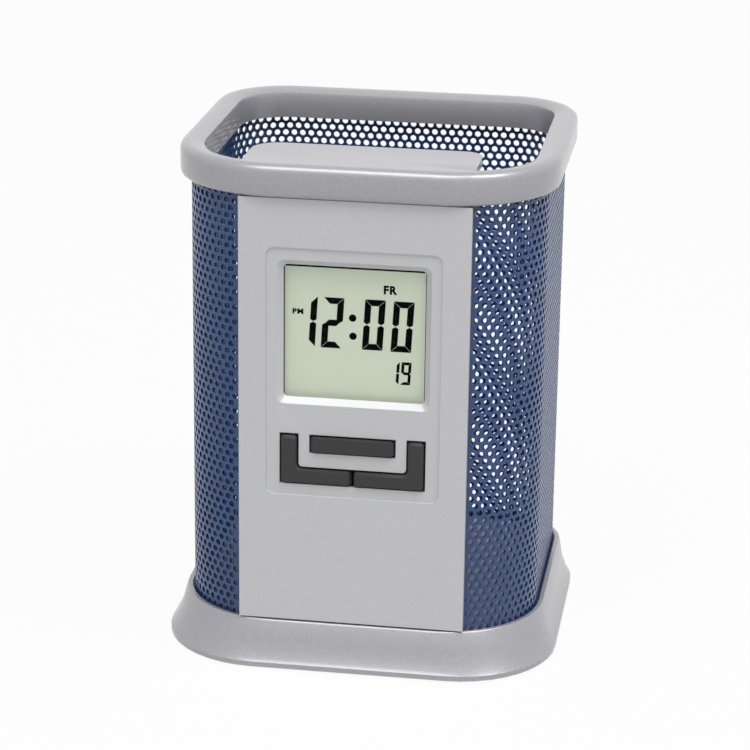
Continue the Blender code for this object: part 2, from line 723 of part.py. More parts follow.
def key(name, outline, flange, stem):
    """A key: bevelled cap, flange behind the panel and a stem, its origin on the stem's axis."""
    front = FRAME_PLANE - KEY_PROUD
    flange_front = PANEL_BACK + FIT
    cap = cut_out(name, [outline], front, flange_front + 0.4, material=key_plastic())
    weld = cap.modifiers.new("weld", "WELD")
    weld.merge_threshold = 0.00001
    bevel(cap, KEY_EDGE)
    join(
        cap,
        cut_out(f"{name}_flange", [flange], flange_front, flange_front + FLANGE_THICKNESS),
        rod(f"{name}_stem", stem, STEM_RADIUS, (flange_front + 0.4, STEM_TIP), segments=16),
    )
    set_origin(cap, (stem[0], front, stem[1]))
    dome(name.replace("key", "key_dome"), stem)


def dome(name, place):
    """Snap dome on the board, under a key's stem."""
    profile = [(0, DOME_HEIGHT), (1.2, 0.7), (2.0, 0.35), (2.5, 0), (0, 0)]
    turned(name, profile, (place[0], DOME_SEAT, place[1]), (0, -1, 0), steel(), steps=16)


def keys():
    key("key_bar", bar_outline(), bar_outline(KEY_FLANGE), (0.0, (BAR_BOTTOM + BAR_TOP) / 2))
    middle = (ELL_BOTTOM + ELL_ARM_TOP) / 2
    for side, x in both_sides((ELL_ARM_X + ELL_HALF_X) / 2):
        sign = -1 if side == "left" else 1
        key(f"key_{side}", ell_outline(sign), ell_outline(sign, KEY_FLANGE), (x, middle))


def display():
    """Lens, display glass, its frame and the two contact strips that join it to the board."""
    half = WINDOW_HALF_X + LENS_MARGIN
    low, high = WINDOW_BOTTOM - LENS_MARGIN, WINDOW_TOP + LENS_MARGIN
    lens = (LENS_FRONT, LENS_FRONT + LENS_THICKNESS)
    block("window_lens", (-half, half), lens, (low, high), clear_acrylic())
    block("display_glass", (-half, half), (GLASS_FRONT, GLASS_BACK), (low, high), display_glass())
    ring = FIT + GLASS_FRAME_WALL
    frame = [
        rounded_box(-half - ring, half + ring, low - ring, high + ring, 0),
        rounded_box(-half - FIT, half + FIT, low - FIT, high + FIT, 0),
    ]
    cut_out("display_frame", frame, GLASS_FRONT, BOARD_FRONT - FIT, material=white_plastic())
    width, span = (-STRIP_HALF_X, STRIP_HALF_X), (GLASS_BACK + FIT, BOARD_FRONT - FIT)
    for level, z in (("low", low + 1.2), ("high", high - 1.2 - STRIP_HEIGHT)):
        block(f"contact_strip_{level}", width, span, (z, z + STRIP_HEIGHT), rubber())


def circuit_board():
    """Board with clearance holes for its screws, the covered chip and the crystal."""
    holes = []
    for spot, (x, z) in posts(BOARD_POSTS_X, BOARD_POSTS_Z):
        holes.append(arc((x, z), HOLE_RADIUS, 0, 330, 11))
        screw(f"board_screw_{spot}", (x, BOARD_BACK + FIT, z), (0, 1, 0), 5.4)
    edge = rounded_box(-BOARD_HALF_X, BOARD_HALF_X, BOARD_BOTTOM, BOARD_TOP, 0)
    cut_out("circuit_board", [edge] + holes, BOARD_FRONT, BOARD_BACK, material=board_laminate())
    blob = [(0, 1.4), (3.2, 1.1), (5.2, 0.5), (6.0, 0), (0, 0)]
    turned("chip_cover", blob, (-8.0, BOARD_BACK + FIT, 50.0), (0, 1, 0), black_epoxy())
    rod("crystal_can", (BOARD_BACK + FIT + 1.0, 46.0), 1.0, (6.0, 12.0), "X", steel(), 14)


def clock_case():
    """Tub behind the panel, open in front and on top, with the cell pocket and the door's guide in it."""
    def plan(half_x, front, rear, corner):
        return (
            [(half_x, front)]
            + arc((half_x - corner, rear - corner), corner, 0, 90, 6)
            + arc((corner - half_x, rear - corner), corner, 90, 180, 6)
            + [(-half_x, front)]
        )
    outer = plan(CASE_HALF_X, CASE_FRONT, CASE_REAR, CASE_CORNER)
    inner = plan(CASE_HALF_X - CASE_WALL, CASE_FRONT - 1.0, CASE_REAR_INNER, CASE_INNER_CORNER)
    case = cut_out("clock_case", [outer], CASE_BOTTOM, CASE_TOP, "Z", case_plastic())
    cut(case, cut_out("case_hollow", [inner], CASE_BOTTOM + CASE_WALL, CASE_TOP + 1.0, "Z"))
    wall = POCKET_HALF_X + POCKET_WALL
    back = (POCKET_FRONT - POCKET_WALL, CASE_REAR_INNER + 0.3)
    heights = (POCKET_BOTTOM - POCKET_WALL, POCKET_TOP + POCKET_WALL)
    join(case, block("cell_pocket", (-wall, wall), back, heights))
    for side, x in both_sides(FOOT_SCREWS_X):
        spot = (x, FOOT_SCREWS_Y)
        boss, bore = (CASE_BOTTOM + 0.5, FOOT_BOSS_TOP), (CASE_BOTTOM - 0.7, FOOT_BOSS_TOP - 0.5)
        join(case, rod(f"foot_boss_{side}", spot, FOOT_BOSS_RADIUS, boss, "Z"))
        cut(case, rod(f"foot_bore_{side}", spot, HOLE_RADIUS, bore, "Z"))
        screw(f"case_foot_screw_{side}", (*spot, FLOOR_UNDER - FIT), (0, 0, -1), 8.8)
    door_space(case)
    for spot, place in posts(CASE_POSTS_X, CASE_POSTS_Z):
        screw_seat(case, f"case_{spot}", place)
        screw(f"case_screw_{spot}", (place[0], HEAD_SEAT, place[1]), (0, 1, 0), 8.0)
    for side, x in both_sides(RIM_SCREWS_X):
        screw_seat(case, f"rim_{side}", (x, RIM_SCREWS_Z))


def screw_seat(case, name, place):
    """Hole and sunk seat for a screw through the case's back wall."""
    cut(case, rod(f"{name}_hole", place, HOLE_RADIUS, (CASE_REAR_INNER - 1.0, CASE_REAR + 1.0)))
    cut(case, rod(f"{name}_sink", place, HEAD_RADIUS + FIT, (CASE_REAR - HEAD_SINK, CASE_REAR + 1.0)))


def door_space(case):
    """The door's recess and side slots, the cell's pocket and the slots of the two contacts under it."""
    heights = (DOOR_BOTTOM - DOOR_TRAVEL - FIT, DOOR_TOP + FIT)
    edge = DOOR_HALF_X + FIT
    slot = edge + TONGUE
    half = POCKET_HALF_X
    below = (POCKET_BOTTOM - 2.0, POCKET_BOTTOM + 0.5)
    leaf = LEAF_HALF_X + FIT
    side = (SIDE_CONTACT_X - FIT, SIDE_CONTACT_X + CONTACT + FIT)
    cut(
        case,
        block("door_recess", (-edge, edge), (DOOR_INNER - FIT, CASE_REAR + 1.0), heights),
        block("door_slots", (-slot, slot), (TONGUE_FRONT - FIT, TONGUE_REAR + FIT), heights),
        block("cell_room", (-half, half), (POCKET_FRONT, CASE_REAR), (POCKET_BOTTOM, POCKET_TOP)),
        block("leaf_slot", (-leaf, leaf), (POCKET_FRONT, LEAF_FRONT + CONTACT + 2 * FIT), below),
        block("side_slot", side, (SIDE_CONTACT_FRONT - FIT, SIDE_CONTACT_REAR + FIT), below),
    )


def battery_door():
    """Sliding door with side tongues and finger ridges."""
    edge = DOOR_HALF_X + TONGUE
    heights = (DOOR_BOTTOM, DOOR_TOP)
    sides = (-DOOR_HALF_X, DOOR_HALF_X)
    door = block("battery_door", sides, (DOOR_INNER, CASE_REAR), heights, case_plastic())
    join(door, block("door_tongues", (-edge, edge), (TONGUE_FRONT, TONGUE_REAR), heights))
    proud = (CASE_REAR - 0.4, CASE_REAR + 0.4)
    for number in range(RIDGES):
        z = DOOR_TOP - 3.0 - number * RIDGE_PITCH
        width = (-RIDGE_HALF_X, RIDGE_HALF_X)
        join(door, block(f"door_ridge_{number + 1}", width, proud, (z, z + RIDGE_WIDTH)))


def cell_and_contacts():
    """Button cell in its pocket, the leaf behind it and the strip at its edge, both on the board."""
    front = LEAF_FRONT + CONTACT + FIT
    span = (front, front + CELL_THICKNESS)
    rod("button_cell", (0, CELL_HEIGHT), CELL_RADIUS, span, material=steel(), segments=32)
    foot = BOARD_BACK + FIT
    low = CONTACT_FOOT
    run = [(foot, low), (foot, low + 2.3), (LEAF_FRONT, low + 4.1), (LEAF_FRONT, CELL_HEIGHT + 1.5)]
    back = [(y + CONTACT, z) for y, z in run]
    cut_out("cell_leaf", [run + back[::-1]], -LEAF_HALF_X, LEAF_HALF_X, "X", brass())
    near, far, top = SIDE_CONTACT_FRONT, SIDE_CONTACT_REAR, CELL_HEIGHT + 3.0
    side = [(foot, low), (far, low), (far, top), (near, top), (near, low + 3.0), (foot, low + 3.0)]
    cut_out("cell_side_strip", [side], SIDE_CONTACT_X, SIDE_CONTACT_X + CONTACT, "X", brass())


def buzzer():
    """Buzzer disc on the back wall of the case, with two wires to the board."""
    seat = CASE_REAR_INNER - FIT
    rim = BUZZER_RADIUS
    profile = [(0, 0.6), (rim * 0.65, 0.6), (rim * 0.65, 0.3), (rim, 0.3), (rim, 0), (0, 0)]
    turned("buzzer_disc", profile, (0, seat, BUZZER_HEIGHT), (0, -1, 0), brass(), steps=28)
    wires = (("buzzer_wire_red", 3.2, red_sleeve()), ("buzzer_wire_black", -3.2, black_sleeve()))
    for name, x, sleeve in wires:
        start = Vector((x, seat - 1.1, BUZZER_HEIGHT))
        end = Vector((x * 1.4, BOARD_BACK + FIT + 0.1, BOARD_BOTTOM + 2.0))
        points = [start, start + Vector((0, -1.6, 0.8)), start + Vector((0, -2.9, 3.6))]
        points += [end + Vector((0, 2.6, -4.2)), end + Vector((0, 1.4, -1.0)), end]
        wire(name, points, 0.45, sleeve)


base_shell()
base_plate()
mesh_wall()
top_rim()
front_panel()
keys()
display()
circuit_board()
clock_case()
battery_door()
cell_and_contacts()
buzzer()
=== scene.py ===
"""Pen holder clock: the perforated sheet, the display's characters, every finish and the studio.

It is laid out as a Blender add-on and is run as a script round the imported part. Lengths are in
metres, +Z is up and the front faces -Y.
"""

import math

import bmesh
import bpy
from bpy.props import FloatProperty, FloatVectorProperty, PointerProperty, StringProperty
from bpy.types import Operator, Panel, PropertyGroup
from mathutils import Matrix, Vector


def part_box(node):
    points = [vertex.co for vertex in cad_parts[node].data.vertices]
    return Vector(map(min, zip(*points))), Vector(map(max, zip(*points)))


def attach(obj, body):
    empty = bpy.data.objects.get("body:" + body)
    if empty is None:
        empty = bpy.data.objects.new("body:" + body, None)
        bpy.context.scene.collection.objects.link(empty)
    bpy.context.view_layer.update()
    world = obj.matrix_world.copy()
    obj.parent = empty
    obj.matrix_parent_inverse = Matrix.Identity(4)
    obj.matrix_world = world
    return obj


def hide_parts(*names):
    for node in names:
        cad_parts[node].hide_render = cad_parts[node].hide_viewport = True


bl_info = {
    "name": "Pen Holder Clock",
    "version": (1, 0, 0),
    "blender": (4, 5, 0),
    "location": "3D View > Sidebar > Pen Holder Clock",
    "description": "Finishes, perforated sheet, display and studio for the pen holder clock",
    "category": "Object",
}

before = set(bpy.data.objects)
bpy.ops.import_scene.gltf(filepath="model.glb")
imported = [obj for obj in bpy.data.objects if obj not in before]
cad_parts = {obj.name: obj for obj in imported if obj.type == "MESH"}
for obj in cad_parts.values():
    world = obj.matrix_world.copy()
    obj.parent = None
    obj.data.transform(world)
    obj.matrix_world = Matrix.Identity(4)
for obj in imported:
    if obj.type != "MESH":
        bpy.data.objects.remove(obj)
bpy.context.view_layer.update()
MM = 0.001


# Sizes and colours that a user would change


class SheetSizes(PropertyGroup):
    """The perforated sheet."""

    hole: FloatProperty(
        name="Hole diameter",
        description="Diameter of a punched hole",
        default=1.36 * MM,
        min=0.2 * MM,
        unit="LENGTH",
    )
    pitch: FloatProperty(
        name="Hole pitch",
        description="Distance between neighbouring holes of a row",
        default=1.979 * MM,
        min=0.5 * MM,
        unit="LENGTH",
    )
    row_pitch: FloatProperty(
        name="Row pitch",
        description="Height from one row of holes to the next",
        default=1.65 * MM,
        min=0.5 * MM,
        unit="LENGTH",
    )
    thickness: FloatProperty(
        name="Thickness",
        description="Thickness of the sheet",
        default=0.5 * MM,
        min=0.1 * MM,
        unit="LENGTH",
    )
    front_bend: FloatProperty(
        name="Front bend",
        description="Radius of the sheet's middle at the two front corners",
        default=19.85 * MM,
        unit="LENGTH",
    )
    rear_bend: FloatProperty(
        name="Rear bend",
        description="Radius of the sheet's middle at the two rear corners",
        default=13.25 * MM,
        unit="LENGTH",
    )
    margin: FloatProperty(
        name="Plain edge",
        description="Width of the unpunched upper edge of the sheet",
        default=0.5 * MM,
        unit="LENGTH",
    )
    first_row: FloatProperty(
        name="First row",
        description="Height of the lowest row of holes above the sheet's lower edge",
        default=2.09 * MM,
        unit="LENGTH",
    )
    shift: FloatProperty(
        name="Pattern shift",
        description="How far the pattern is moved round the cup from the middle of its back",
        default=-0.77 * MM,
        unit="LENGTH",
    )


class DisplayCharacters(PropertyGroup):
    """What the display shows, and how large."""

    time: StringProperty(name="Time", description="Four digits of the time", default="1200")
    date: StringProperty(name="Date", description="Two digits of the date", default="19")
    day: StringProperty(name="Day", description="Short name of the day", default="FR")
    half_day: StringProperty(
        name="Half of the day",
        description="Mark before the time",
        default="PM",
    )
    height: FloatProperty(
        name="Digit height",
        description="Height of the time's digits",
        default=11.05 * MM,
        unit="LENGTH",
    )
    width: FloatProperty(
        name="Digit width",
        description="Width of the time's digits",
        default=4.35 * MM,
        unit="LENGTH",
    )
    stroke: FloatProperty(
        name="Stroke",
        description="Width of a stroke of the time's digits",
        default=1.36 * MM,
        unit="LENGTH",
    )
    hairline: FloatProperty(
        name="Hairline",
        description="Gap between two strokes of a digit",
        default=0.1 * MM,
        unit="LENGTH",
    )
    slant: FloatProperty(
        name="Slant",
        description="How far the digits lean to the right",
        default=math.radians(3.2),
        unit="ROTATION",
    )


class Finishes(PropertyGroup):
    """Colours of the finishes."""

    silver: FloatVectorProperty(
        name="Silver paint",
        description="Paint of the rim and the base",
        subtype="COLOR",
        default=(0.392, 0.386, 0.412),
        min=0,
        max=1,
    )
    panel: FloatVectorProperty(
        name="Panel silver",
        description="Paint of the flat front panel",
        subtype="COLOR",
        default=(0.62, 0.62, 0.637),
        min=0,
        max=1,
    )
    enamel: FloatVectorProperty(
        name="Navy enamel",
        description="Enamel of the perforated sheet",
        subtype="COLOR",
        default=(0.012, 0.055, 0.188),
        min=0,
        max=1,
    )
    key: FloatVectorProperty(
        name="Key plastic",
        description="Plastic of the three keys",
        subtype="COLOR",
        default=(0.046, 0.0435, 0.0445),
        min=0,
        max=1,
    )
    case: FloatVectorProperty(
        name="Case plastic",
        description="Plastic of the clock's case, its door and the base plate",
        subtype="COLOR",
        default=(0.33, 0.34, 0.36),
        min=0,
        max=1,
    )
    glass: FloatVectorProperty(
        name="Display ground",
        description="Ground of the display behind its characters",
        subtype="COLOR",
        default=(0.6, 0.658, 0.534),
        min=0,
        max=1,
    )


class Studio(PropertyGroup):
    """Camera and lamps."""

    azimuth: FloatProperty(
        name="Azimuth",
        description="How far the camera stands round to the right",
        default=math.radians(8.593),
        unit="ROTATION",
    )
    elevation: FloatProperty(
        name="Elevation",
        description="How far the camera looks down",
        default=math.radians(18.699),
        unit="ROTATION",
    )
    roll: FloatProperty(
        name="Roll",
        description="How far the camera is turned about its own axis",
        default=math.radians(0.744),
        unit="ROTATION",
    )
    distance: FloatProperty(
        name="Distance",
        description="Distance from the camera to the point that it looks at",
        default=620 * MM,
        unit="LENGTH",
    )
    lens: FloatProperty(
        name="Focal length",
        description="Focal length on a 36 mm sensor",
        default=133.455,
        unit="CAMERA",
    )
    world: FloatProperty(
        name="Room light",
        description="Strength of the even light of the room",
        default=0.27,
    )
    main_lamp: FloatProperty(
        name="Main lamp",
        description="Power of the softbox overhead, to the right",
        default=6.0,
        unit="POWER",
    )
    edge_lamp: FloatProperty(
        name="Edge lamp",
        description="Power of the softbox high in front, whose gloss runs along the edges",
        default=4.4,
        unit="POWER",
    )


def scene_settings():
    return bpy.context.scene.pen_holder_clock


# Materials

# How much finer than its grain a noise goes
SMOOTH, MEDIUM, RICH = 2.0, 3.0, 4.0

# Sizes in the silver paint, and how deep its flakes stand beside the orange peel
FLAKE_SIZE, PEEL_SIZE, CLOUD_SIZE = 0.3 * MM, 0.9 * MM, 12 * MM
FLAKE_BUMP = 0.4


def new_material(name, colour, roughness, metallic=0.0):
    """A material, its node tree and its principled shader."""
    made = bpy.data.materials.new(name)
    made.use_nodes = True
    made.diffuse_color = (*colour, 1.0)
    shader = made.node_tree.nodes["Principled BSDF"]
    shader.inputs["Base Color"].default_value = (*colour, 1.0)
    shader.inputs["Roughness"].default_value = roughness
    shader.inputs["Metallic"].default_value = metallic
    return made, made.node_tree, shader


def noise(tree, grain, detail=MEDIUM, stretch=(1, 1, 1)):
    """Noise with features about as large as grain, in metres, fixed to the piece."""
    where = tree.nodes.new("ShaderNodeTexCoord")
    scale = tree.nodes.new("ShaderNodeMapping")
    scale.inputs["Scale"].default_value = stretch
    texture = tree.nodes.new("ShaderNodeTexNoise")
    texture.inputs["Scale"].default_value = 1.0 / grain
    texture.inputs["Detail"].default_value = detail
    tree.links.new(where.outputs["Object"], scale.inputs["Vector"])
    tree.links.new(scale.outputs["Vector"], texture.inputs["Vector"])
    return texture.outputs["Fac"]


def ranged(tree, value, low, high, start=0.25, end=0.75):
    """The value, mapped from start to end onto low to high."""
    node = tree.nodes.new("ShaderNodeMapRange")
    numbers = {"From Min": start, "From Max": end, "To Min": low, "To Max": high}
    for socket, number in numbers.items():
        node.inputs[socket].default_value = number
    tree.links.new(value, node.inputs["Value"])
    return node.outputs["Result"]


def mixed(tree, factor, first, second):
    """A colour between the first and the second, each a colour or a socket."""
    node = tree.nodes.new("ShaderNodeMix")
    node.data_type = "RGBA"
    sockets = {s.identifier: s for s in node.inputs}
    tree.links.new(factor, sockets["Factor_Float"])
    for socket, colour in ((sockets["A_Color"], first), (sockets["B_Color"], second)):
        if isinstance(colour, bpy.types.NodeSocket):
            tree.links.new(colour, socket)
        else:
            socket.default_value = (*colour, 1.0)
    return next(s for s in node.outputs if s.identifier == "Result_Color")


def tone(colour, factor):
    """The colour, darker or lighter by this factor."""
    return tuple(min(1.0, c * factor) for c in colour)


def speckled(tree, colour, grains, low, high):
    """The colour, from low to high times as light over the grains."""
    return mixed(tree, ranged(tree, grains, 0, 1), tone(colour, low), tone(colour, high))


def bumped(tree, shader, height, depth, normal=None):
    """Adds a bump of this depth, in metres, to the shader."""
    node = tree.nodes.new("ShaderNodeBump")
    node.inputs["Distance"].default_value = depth
    tree.links.new(height, node.inputs["Height"])
    if normal is not None:
        tree.links.new(normal, node.inputs["Normal"])
    tree.links.new(node.outputs["Normal"], shader.inputs["Normal"])
    return node.outputs["Normal"]


def painted(name, colour, roughness, metallic, spread, peel, lacquer):
    """Silver paint under clear lacquer: fine flakes, soft clouds and a little orange peel."""
    made, tree, shader = new_material(name, colour, roughness, metallic)
    shader.inputs["Coat Weight"].default_value = lacquer
    shader.inputs["Coat Roughness"].default_value = 0.08
    flakes = noise(tree, FLAKE_SIZE, SMOOTH)
    clouds = noise(tree, CLOUD_SIZE)
    fine = speckled(tree, colour, flakes, 1 - spread, 1 + spread)
    cloudy = mixed(tree, ranged(tree, clouds, 0, 0.35), fine, tone(colour, 1.03))
    tree.links.new(cloudy, shader.inputs["Base Color"])
    gloss = ranged(tree, flakes, roughness - 0.06, roughness + 0.06)
    tree.links.new(gloss, shader.inputs["Roughness"])
    skin = bumped(tree, shader, noise(tree, PEEL_SIZE, SMOOTH), peel)
    bumped(tree, shader, flakes, peel * FLAKE_BUMP, skin)
    return made


def silver_paint():
    return painted(
        "silver paint",
        scene_settings().finish.silver,
        roughness=0.34,
        metallic=0.35,
        spread=0.14,
        peel=0.012 * MM,
        lacquer=0.5,
    )


def panel_silver():
    return painted(
        "panel silver",
        scene_settings().finish.panel,
        roughness=0.45,
        metallic=0.2,
        spread=0.06,
        peel=0.006 * MM,
        lacquer=0.25,
    )


def navy_enamel():
    """Glossy stoved enamel with a slight orange peel."""
    colour = scene_settings().finish.enamel
    made, tree, shader = new_material("navy enamel", colour, roughness=0.36)
    shade = speckled(tree, colour, noise(tree, 6 * MM, RICH), 0.88, 1.14)
    tree.links.new(shade, shader.inputs["Base Color"])
    gloss = ranged(tree, noise(tree, 1.5 * MM), low=0.28, high=0.42)
    tree.links.new(gloss, shader.inputs["Roughness"])
    shader.inputs["Coat Weight"].default_value = 0.3
    shader.inputs["Coat Roughness"].default_value = 0.2
    bumped(tree, shader, noise(tree, 0.5 * MM, SMOOTH), depth=0.01 * MM)
    return made


def moulded(name, colour, roughness, grain, depth):
    """Moulded plastic or rubber with an eroded grain."""
    made, tree, shader = new_material(name, colour, roughness)
    grains = noise(tree, grain, RICH)
    patches = noise(tree, 9 * MM, SMOOTH)
    fine = speckled(tree, colour, grains, 0.9, 1.1)
    shade = mixed(tree, ranged(tree, patches, 0, 0.4), fine, tone(colour, 1.08))
    tree.links.new(shade, shader.inputs["Base Color"])
    gloss = ranged(tree, grains, roughness - 0.08, roughness + 0.08)
    tree.links.new(gloss, shader.inputs["Roughness"])
    bumped(tree, shader, grains, depth)
    return made


def key_plastic():
    colour = scene_settings().finish.key
    made = moulded("key plastic", colour, roughness=0.5, grain=0.22 * MM, depth=0.012 * MM)
    made.node_tree.nodes["Principled BSDF"].inputs["Specular IOR Level"].default_value = 0.3
    return made


def case_plastic():
    colour = scene_settings().finish.case
    return moulded("case plastic", colour, roughness=0.5, grain=0.3 * MM, depth=0.015 * MM)


def rubber():
    colour = (0.02, 0.02, 0.021)
    return moulded("black rubber", colour, roughness=0.75, grain=0.25 * MM, depth=0.02 * MM)


def white_plastic():
    colour = (0.76, 0.76, 0.73)
    return moulded("white plastic", colour, roughness=0.5, grain=0.4 * MM, depth=0.01 * MM)


def black_epoxy():
    colour = (0.012, 0.012, 0.014)
    return moulded("black epoxy", colour, roughness=0.3, grain=1.2 * MM, depth=0.03 * MM)


def sleeve(name, colour):
    """Soft plastic round a wire."""
    return moulded(name, colour, roughness=0.42, grain=0.5 * MM, depth=0.006 * MM)


def bright_metal(name, colour, roughness, grain):
    """Turned or rolled bare metal: brushed one way, a little tarnished in patches."""
    made, tree, shader = new_material(name, colour, roughness, metallic=1.0)
    lines = noise(tree, grain, SMOOTH, stretch=(1, 1, 8))
    shade = speckled(tree, colour, noise(tree, 2 * MM), 0.82, 1.06)
    tree.links.new(shade, shader.inputs["Base Color"])
    gloss = ranged(tree, lines, roughness - 0.08, roughness + 0.14)
    tree.links.new(gloss, shader.inputs["Roughness"])
    bumped(tree, shader, lines, depth=0.004 * MM)
    return made


def steel():
    return bright_metal("bright steel", (0.58, 0.58, 0.60), roughness=0.28, grain=0.12 * MM)


def brass():
    return bright_metal("rolled brass", (0.72, 0.50, 0.20), roughness=0.26, grain=0.15 * MM)


def board_laminate():
    """Green lacquer over a glass weave with faint copper tracks."""
    colour, track_colour = (0.025, 0.14, 0.055), (0.05, 0.22, 0.07)
    made, tree, shader = new_material("board laminate", colour, roughness=0.35)
    where = tree.nodes.new("ShaderNodeTexCoord")
    tracks = tree.nodes.new("ShaderNodeTexBrick")
    tracks.inputs["Scale"].default_value = 1.0 / (3 * MM)
    tracks.inputs["Mortar Size"].default_value = 0.03
    turn = tree.nodes.new("ShaderNodeMapping")
    turn.inputs["Rotation"].default_value = (math.pi / 2, 0, 0)
    tree.links.new(where.outputs["Object"], turn.inputs["Vector"])
    tree.links.new(turn.outputs["Vector"], tracks.inputs["Vector"])
    fine = speckled(tree, colour, noise(tree, 0.4 * MM, SMOOTH), 0.85, 1.15)
    shade = mixed(tree, tracks.outputs["Fac"], fine, track_colour)
    tree.links.new(shade, shader.inputs["Base Color"])
    bumped(tree, shader, tracks.outputs["Fac"], depth=0.02 * MM)
    return made


def display_ground():
    """The display's ground: pale grey green with a faint grain and a painted glow that lifts the
    shade of its recess.
    """
    colour = scene_settings().finish.glass
    made, tree, shader = new_material("display ground", colour, roughness=0.55)
    # Painted light: the ground glows in its own colour, though a display gives no light
    shader.inputs["Emission Color"].default_value = (*colour, 1.0)
    shader.inputs["Emission Strength"].default_value = 0.3
    grains = noise(tree, 0.12 * MM, SMOOTH)
    clouds = noise(tree, 14 * MM, SMOOTH)
    fine = speckled(tree, colour, grains, 0.975, 1.025)
    shade = mixed(tree, ranged(tree, clouds, 0, 0.5), fine, tone(colour, 1.02))
    tree.links.new(shade, shader.inputs["Base Color"])
    tree.links.new(ranged(tree, grains, low=0.5, high=0.6), shader.inputs["Roughness"])
    bumped(tree, shader, grains, depth=0.002 * MM)
    return made


def display_ink_and_shadow():
    """The darkened crystal of a lit stroke, and the ink of the painted shadow line round the
    display.
    """
    colour = (0.004, 0.0045, 0.004)
    made, tree, shader = new_material("display ink and painted shadow", colour, roughness=0.5)
    shader.inputs["Specular IOR Level"].default_value = 0.0
    grains = noise(tree, 0.1 * MM, SMOOTH)
    tree.links.new(speckled(tree, colour, grains, 0.8, 1.3), shader.inputs["Base Color"])
    tree.links.new(ranged(tree, grains, low=0.46, high=0.56), shader.inputs["Roughness"])
    return made


def clear_acrylic():
    """Thin clear sheet that lets light straight through, with a gloss that grows at a glance."""
    made, tree, shader = new_material("clear acrylic", (0.95, 0.97, 0.95), roughness=0.06)
    made.surface_render_method = "BLENDED"
    through = tree.nodes.new("ShaderNodeBsdfTransparent")
    through.inputs["Color"].default_value = (0.985, 0.99, 0.985, 1.0)
    gloss = tree.nodes.new("ShaderNodeBsdfGlossy")
    haze = ranged(tree, noise(tree, 5 * MM), low=0.03, high=0.09)
    tree.links.new(haze, gloss.inputs["Roughness"])
    slope = tree.nodes.new("ShaderNodeLayerWeight")
    both = tree.nodes.new("ShaderNodeMixShader")
    glance = ranged(tree, slope.outputs["Facing"], low=0.0015, high=0.25, start=0.15, end=1.0)
    tree.links.new(glance, both.inputs["Fac"])
    tree.links.new(through.outputs["BSDF"], both.inputs[1])
    tree.links.new(gloss.outputs["BSDF"], both.inputs[2])
    tree.nodes.remove(shader)
    tree.links.new(both.outputs["Shader"], tree.nodes["Material Output"].inputs["Surface"])
    return made


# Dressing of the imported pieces

WELD_DISTANCE = 0.001 * MM

# Angles between faces: shaded as a sharp edge, rounded off, and taken as flat
SHARP_FROM = math.radians(40)
ROUNDED_FROM = math.radians(35)
FLAT_WITHIN = math.radians(0.5)


def welded_and_smooth():
    """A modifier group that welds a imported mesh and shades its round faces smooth."""
    name = "welded and smooth"
    if name in bpy.data.node_groups:
        return bpy.data.node_groups[name]
    group = bpy.data.node_groups.new(name, "GeometryNodeTree")
    group.interface.new_socket("Geometry", in_out="INPUT", socket_type="NodeSocketGeometry")
    group.interface.new_socket("Geometry", in_out="OUTPUT", socket_type="NodeSocketGeometry")
    start = group.nodes.new("NodeGroupInput")
    end = group.nodes.new("NodeGroupOutput")
    weld = group.nodes.new("GeometryNodeMergeByDistance")
    weld.inputs["Distance"].default_value = WELD_DISTANCE
    angle = group.nodes.new("GeometryNodeInputMeshEdgeAngle")
    sharp = group.nodes.new("FunctionNodeCompare")
    sharp.data_type = "FLOAT"
    sharp.operation = "GREATER_THAN"
    sharp.inputs["B"].default_value = SHARP_FROM
    normals = group.nodes.new("GeometryNodeSetMeshNormal")
    normals.mode = "SHARPNESS"
    normals.inputs["Remove Custom"].default_value = True
    normals.inputs["Face Sharpness"].default_value = False
    links = group.links
    links.new(start.outputs["Geometry"], weld.inputs["Geometry"])
    links.new(weld.outputs["Geometry"], normals.inputs["Mesh"])
    links.new(angle.outputs["Unsigned Angle"], sharp.inputs["A"])
    links.new(sharp.outputs["Result"], normals.inputs["Edge Sharpness"])
    links.new(normals.outputs["Mesh"], end.inputs["Geometry"])
    return group


def dress(names, material, rounding=0.0):
    """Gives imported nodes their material, welded smooth faces and, if asked for, rounded edges."""
    for name in names:
        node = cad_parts[name]
        node.data.materials.clear()
        node.data.materials.append(material)
        weld = node.modifiers.new("weld", "NODES")
        weld.node_group = welded_and_smooth()
        if rounding:
            flat = node.modifiers.new("flat faces", "DECIMATE")
            flat.decimate_type = "DISSOLVE"
            flat.angle_limit = FLAT_WITHIN
            edges = node.modifiers.new("rounded edges", "BEVEL")
            edges.width = rounding
            edges.segments = 2
            edges.limit_method = "ANGLE"
            edges.angle_limit = ROUNDED_FROM


def named(*starts):
    """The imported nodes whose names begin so."""
    return [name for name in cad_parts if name.startswith(starts)]


def add_piece(name, mesh, material):
    """Links a piece of the object, riding on the holder."""
    obj = bpy.data.objects.new(name, mesh)
    bpy.context.scene.collection.objects.link(obj)
    mesh.materials.append(material)
    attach(obj, "holder")
    return obj


# The perforated sheet

# Points round a hole, two to each corner of its six-sided cell, and the angle from which its
# edge is shaded sharp
HOLE_POINTS = 12
HOLE_SHARP_FROM = math.radians(50)

# Least width of the plain strip at the sheet's two ends, and how far they lie past the case
END_STRIP = 0.1 * MM
END_PAST_CASE = 0.3 * MM


